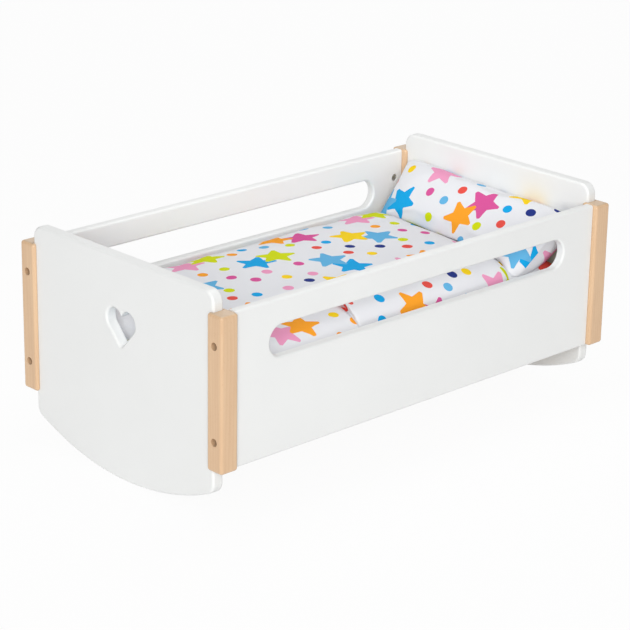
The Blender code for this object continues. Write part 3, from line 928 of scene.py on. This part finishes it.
def stuff(piece, cap, hold):
    """Lets the stuffing press the bag out, in a short cloth simulation. No point moves further
    than the cap, and hold(point) keeps each one clear of its neighbours."""
    cloth = piece.modifiers.new("stuffing", "CLOTH")
    cloth.settings.use_pressure = True
    cloth.settings.uniform_pressure_force = STUFFING_PRESSURE
    cloth.settings.effector_weights.gravity = 0
    scene = bpy.context.scene
    for moment in range(1, STUFFING_FRAMES + 1):
        scene.frame_set(moment)
    graph = bpy.context.evaluated_depsgraph_get()
    pressed = [vert.co.copy() for vert in piece.evaluated_get(graph).data.vertices]
    piece.modifiers.remove(cloth)
    scene.frame_set(1)
    for vert, place in zip(piece.data.vertices, pressed):
        move = place - vert.co
        if move.length > cap:
            move = move * (cap / move.length)
        vert.co = hold(vert.co + move)
    smooth = piece.modifiers.new("smooth cloth", "SUBSURF")
    smooth.levels = smooth.render_levels = 1
    bpy.context.view_layer.update()
    return piece


def surface_height(piece):
    """A function that gives the height of a piece's upper side at a place."""
    tree = BVHTree.FromObject(piece, bpy.context.evaluated_depsgraph_get())

    def height(x, y, fallback):
        hit, _, _, _ = tree.ray_cast(Vector((x, y, 1.0)), Vector((0, 0, -1)))
        return hit.z if hit else fallback

    return height


def make_mattress(material):
    """The mattress bag, flat underneath and crowned on top."""
    low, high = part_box("mattress")

    def place(u, v, rise):
        x = u * (high.x - MATTRESS_DRAW_IN * (1 - v * v) - blunted(u, v, MATTRESS_CORNER))
        y = v * (high.y - MATTRESS_DRAW_IN * (1 - u * u) - blunted(u, v, MATTRESS_CORNER))
        return Vector((x, y, low.z + rise))

    def top(u, v):
        full = fullness(u, v, MATTRESS_BOXINESS, MATTRESS_ROUNDNESS)
        rise = MATTRESS_SEAM_HEIGHT + (MATTRESS_SHOULDER_HEIGHT - MATTRESS_SEAM_HEIGHT) * full
        point = place(u, v, rise + MATTRESS_CROWN * (1 - u * u) * (1 - v * v))
        point.z += full * lump(point.x, point.y, MATTRESS_LUMPS)
        return point

    def bottom(u, v):
        full = fullness(u, v, MATTRESS_BOXINESS, MATTRESS_ROUNDNESS)
        return place(u, v, MATTRESS_SEAM_HEIGHT * (1 - full))

    def hold(point):
        x = max(low.x, min(high.x, point.x))
        y = max(low.y, min(high.y, point.y))
        return Vector((x, y, max(low.z, point.z)))

    bag = sewn("mattress_bag", MATTRESS_GRID, top, bottom, 0.0, material, "mattress")
    return stuff(bag, MATTRESS_CAP, hold)


cotton = star_cotton()
mattress = make_mattress(cotton)
under = surface_height(mattress)


# The pillow is a smaller bag of the same cloth. It is propped against the head end with its
# lower edge on the mattress, and is steeper at the back than at the front.
PILLOW_GRID = (36, 64)
PILLOW_HALF_LENGTH = 0.117
PILLOW_REACH = 0.0715  # from the head end to its lower edge
PILLOW_SKEW = 0.016  # how much that edge leads at the front and trails at the back
PILLOW_HEAD_GAP = 0.003
PILLOW_DROP = 0.029  # from the head end's top to its upper edge
PILLOW_TILT = 0.006  # how much higher that edge is at the back than in the middle
PILLOW_FRONT_SWELL = 0.0115
PILLOW_SWELL_RISE = 0.25  # how much fuller its front is towards the upper edge
PILLOW_BACK_SWELL = 0.035
PILLOW_FRONT_BOXINESS = 3
PILLOW_BACK_BOXINESS = 10
PILLOW_ROUNDNESS = 0.5
PILLOW_DRAW_IN = 0.003
PILLOW_CORNER = 0.004
PILLOW_OVERHANG = 0.0022  # most that its front hangs over its lower edge
PILLOW_HALF_DEPTH = 0.05
PILLOW_LUMPS = 3
PILLOW_CAP = 0.003
PILLOW_PRINT_SHIFT = 0.062


def make_pillow(material):
    """The pillow bag, swollen until it lies on the mattress and against the head end."""
    low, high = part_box("pillow")
    panel_low, panel_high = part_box("head_end_panel")
    panel = panel_low.x
    stop = panel - BEDDING_GAP

    def lower_edge(y):
        return panel - PILLOW_REACH + PILLOW_SKEW * y / PILLOW_HALF_LENGTH

    def seam(u, v):
        draw_in = PILLOW_DRAW_IN * (1 - u * u) + blunted(u, v, PILLOW_CORNER)
        y = v * (PILLOW_HALF_LENGTH - draw_in)
        x = lower_edge(y)
        lower = Vector((x, y, under(x, y, low.z) + BEDDING_GAP))
        upper = Vector((panel - PILLOW_HEAD_GAP, y, panel_high.z - PILLOW_DROP + PILLOW_TILT * v))
        rise = upper - lower
        outward = Vector((-rise.z, 0, rise.x)).normalized()
        up_share = (1 + u) / 2 - blunted(u, v, PILLOW_CORNER) / rise.length
        return lower.lerp(upper, up_share), outward

    def hold(point):
        x = min(stop, max(lower_edge(point.y) - PILLOW_OVERHANG, point.x))
        y = max(low.y, min(high.y, point.y))
        return Vector((x, y, max(point.z, under(x, y, low.z) + BEDDING_GAP)))

    def top(u, v):
        place, outward = seam(u, v)
        full = fullness(u, v, PILLOW_FRONT_BOXINESS, PILLOW_ROUNDNESS)
        swell = PILLOW_FRONT_SWELL * (1 + PILLOW_SWELL_RISE * u)
        swell += lump(place.y, u * PILLOW_HALF_DEPTH, PILLOW_LUMPS)
        return place + swell * full * outward

    def bottom(u, v):
        place, outward = seam(u, v)
        full = fullness(u, v, PILLOW_BACK_BOXINESS, PILLOW_ROUNDNESS)
        return hold(place - PILLOW_BACK_SWELL * full * outward)

    bag = sewn("pillow_bag", PILLOW_GRID, top, bottom, PILLOW_PRINT_SHIFT, material, "pillow")
    return stuff(bag, PILLOW_CAP, hold)


pillow = make_pillow(cotton)


# The duvet is a thin quilt of the same cloth that covers the mattress up to the pillow. Its
# front hem hangs over the mattress's side, but near the foot it is drawn in on top.
DUVET_GRID = (96, 48)
DUVET_HEAD_GAP = 0.0027
DUVET_CORNER = 0.006
DUVET_HEM = 0.0006
DUVET_LOFT = 0.0085
DUVET_BOXINESS = 8
DUVET_ROUNDNESS = 0.5
DUVET_END_POWER = 3  # makes its ends boxier than its sides
DUVET_TURN = -0.063  # where the hem turns in
DUVET_DRAWN_IN = 0.052  # how far it lies drawn in from there to the foot
DUVET_SLANT = 0.017  # how much nearer the head it turns at the drawn-in hem
DUVET_TURN_RADIUS = 0.006
HEM_SAMPLES = 9
DUVET_LUMPS = 7
DUVET_CAP = 0.002
DUVET_PRINT_SHIFT = 0.031


def make_duvet(material):
    """The duvet bag, laid over the mattress."""
    low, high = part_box("duvet")
    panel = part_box("head_end_panel")[0].x

    def head(v):
        return panel - PILLOW_REACH + PILLOW_SKEW * v - DUVET_HEAD_GAP

    def front_hem(run):
        """A place on the front hem, a run of metres along it from the foot."""
        inner = low.y + DUVET_DRAWN_IN
        past_turn = run - (DUVET_TURN + DUVET_SLANT - low.x)
        if past_turn < 0:
            return Vector((low.x + run, inner, 0))
        if past_turn < DUVET_DRAWN_IN:
            slant = DUVET_SLANT * (1 - past_turn / DUVET_DRAWN_IN)
            return Vector((DUVET_TURN + slant, inner - past_turn, 0))
        return Vector((DUVET_TURN + past_turn - DUVET_DRAWN_IN, low.y, 0))

    hem_length = head(-1) - low.x + DUVET_SLANT + DUVET_DRAWN_IN

    def eased_hem(share):
        """The same with its turns rounded."""
        run = share * hem_length
        radius = min(DUVET_TURN_RADIUS, run, hem_length - run)
        steps = [2 * i / (HEM_SAMPLES - 1) - 1 for i in range(HEM_SAMPLES)]
        return sum((front_hem(run + radius * step) for step in steps), Vector()) / HEM_SAMPLES

    def bottom(u, v):
        share = (1 + u) / 2
        back = Vector((low.x + (head(1) - low.x) * share, high.y, 0))
        point = eased_hem(share).lerp(back, (1 + v) / 2)
        blunt = blunted(u, v, DUVET_CORNER)
        point.x -= math.copysign(blunt, u)
        point.y -= math.copysign(blunt, v)
        point.z = under(point.x, point.y, low.z) + BEDDING_GAP
        return point

    def top(u, v):
        point = bottom(u, v)
        full = fullness(u**DUVET_END_POWER, v, DUVET_BOXINESS, DUVET_ROUNDNESS)
        point.z += DUVET_HEM + (DUVET_LOFT + lump(point.x, point.y, DUVET_LUMPS)) * full
        return point

    def lay(points, shift):
        """The duvet's cloth was cut along its plan, and is longer only where it hangs down."""
        hanging = points[len(points) * 3 // 4]
        section = [(point.y, point.z) for point in hanging]
        runs = [0.0]
        for (y, z), (after_y, after_z) in zip(section, section[1:]):
            runs.append(runs[-1] + math.hypot(after_y - y, after_z - z))

        def across(y):
            for (start, _), (end, _), run, after in zip(section, section[1:], runs, runs[1:]):
                if y <= end:
                    return run + (after - run) * (y - start) / (end - start)
            return runs[-1]

        return [[(point.x + shift, across(point.y) + shift) for point in line] for line in points]

    def hold(point):
        y = max(low.y, min(high.y, point.y))
        x = max(low.x, min(head(y / high.y), point.x))
        return Vector((x, y, max(point.z, under(x, y, low.z) + BEDDING_GAP)))

    bag = sewn("duvet_bag", DUVET_GRID, top, bottom, DUVET_PRINT_SHIFT, material, "duvet", lay)
    return stuff(bag, DUVET_CAP, hold)


duvet = make_duvet(cotton)


# The studio is a white sweep under soft boxes. The floor shows pure white to the camera and
# keeps only a faint shadow of the cradle.
FLOOR_SIZE = 6.0
FLOOR_WHITE = (245, 245, 245)
FLOOR_ROUGHNESS = 0.9
FLOOR_GLOW = 0.95  # share of plain white that the floor shows
CAMERA_PLACE = (-1.51648, -1.57857, 0.89172)
CAMERA_YAW = math.radians(46.34)
CAMERA_PITCH = math.radians(-19.82)
CAMERA_ROLL = math.radians(0.91)
SENSOR = 36.0
LENS = 135.37
SKY_STRENGTH = 0.39
LAMPS = [
    # name, place, width, power
    ("key", (-3.4, -3.4, 1.8), 2.4, 172.0),
    ("overhead", (0.03, 0.0, 0.75), 0.35, 1.35),
    ("rim", (2.0, 2.2, 1.4), 1.6, 6.0),
]


def camera():
    """The photograph's view."""
    data = bpy.data.cameras.new("camera")
    data.lens = LENS
    data.sensor_width = SENSOR
    view = bpy.data.objects.new("camera", data)
    bpy.context.scene.collection.objects.link(view)
    aim = Euler((HALF_PI + CAMERA_PITCH, 0, CAMERA_YAW - HALF_PI)).to_matrix().to_4x4()
    roll = Matrix.Rotation(CAMERA_ROLL, 4, "Z")
    view.matrix_world = Matrix.Translation(CAMERA_PLACE) @ aim @ roll
    bpy.context.scene.camera = view


def soft_box(name, place, size, power):
    """A square lamp that points at the cradle."""
    data = bpy.data.lights.new(name, "AREA")
    data.size = size
    data.energy = power
    lamp = bpy.data.objects.new(name, data)
    bpy.context.scene.collection.objects.link(lamp)
    lamp.location = place
    lamp.rotation_euler = (-Vector(place)).to_track_quat("-Z", "Y").to_euler()


def floor():
    """The floor, which mixes plain white over its shading where the camera or a mirror sees it."""
    bm = bmesh.new()
    bmesh.ops.create_grid(bm, x_segments=1, y_segments=1, size=FLOOR_SIZE / 2)
    mesh = bpy.data.meshes.new("floor")
    bm.to_mesh(mesh)
    bm.free()
    plane = bpy.data.objects.new("floor", mesh)
    bpy.context.scene.collection.objects.link(plane)
    material, shader, _ = new_finish("floor", FLOOR_ROUGHNESS)
    shader.inputs["Base Color"].default_value = colour(*FLOOR_WHITE)
    tree = material.node_tree
    paths = tree.nodes.new("ShaderNodeLightPath")
    rays = [Wire(paths.outputs[f"Is {kind} Ray"]) for kind in ("Camera", "Glossy", "Transmission")]
    seen = rays[0] + rays[1] + rays[2]
    glow = tree.nodes.new("ShaderNodeEmission")
    mix = tree.nodes.new("ShaderNodeMixShader")
    tree.links.new((FLOOR_GLOW * seen.math("MINIMUM", seen, 1.0)).socket, mix.inputs[0])
    tree.links.new(shader.outputs[0], mix.inputs[1])
    tree.links.new(glow.outputs[0], mix.inputs[2])
    tree.links.new(mix.outputs[0], tree.nodes["Material Output"].inputs["Surface"])
    mesh.materials.append(material)


def sky():
    """Even white light from all around, plain white to the camera."""
    dome = bpy.data.worlds.new("studio")
    dome.use_nodes = True
    tree = dome.node_tree
    back = tree.nodes["Background"]
    back.inputs["Color"].default_value = (1, 1, 1, 1)
    paths = tree.nodes.new("ShaderNodeLightPath")
    seen = Wire(paths.outputs["Is Camera Ray"])
    tree.links.new((SKY_STRENGTH + (1 - SKY_STRENGTH) * seen).socket, back.inputs["Strength"])
    bpy.context.scene.world = dome


camera()
floor()
sky()
for name, place, size, power in LAMPS:
    soft_box(name, place, size, power)
bpy.context.scene.view_settings.view_transform = "Standard"
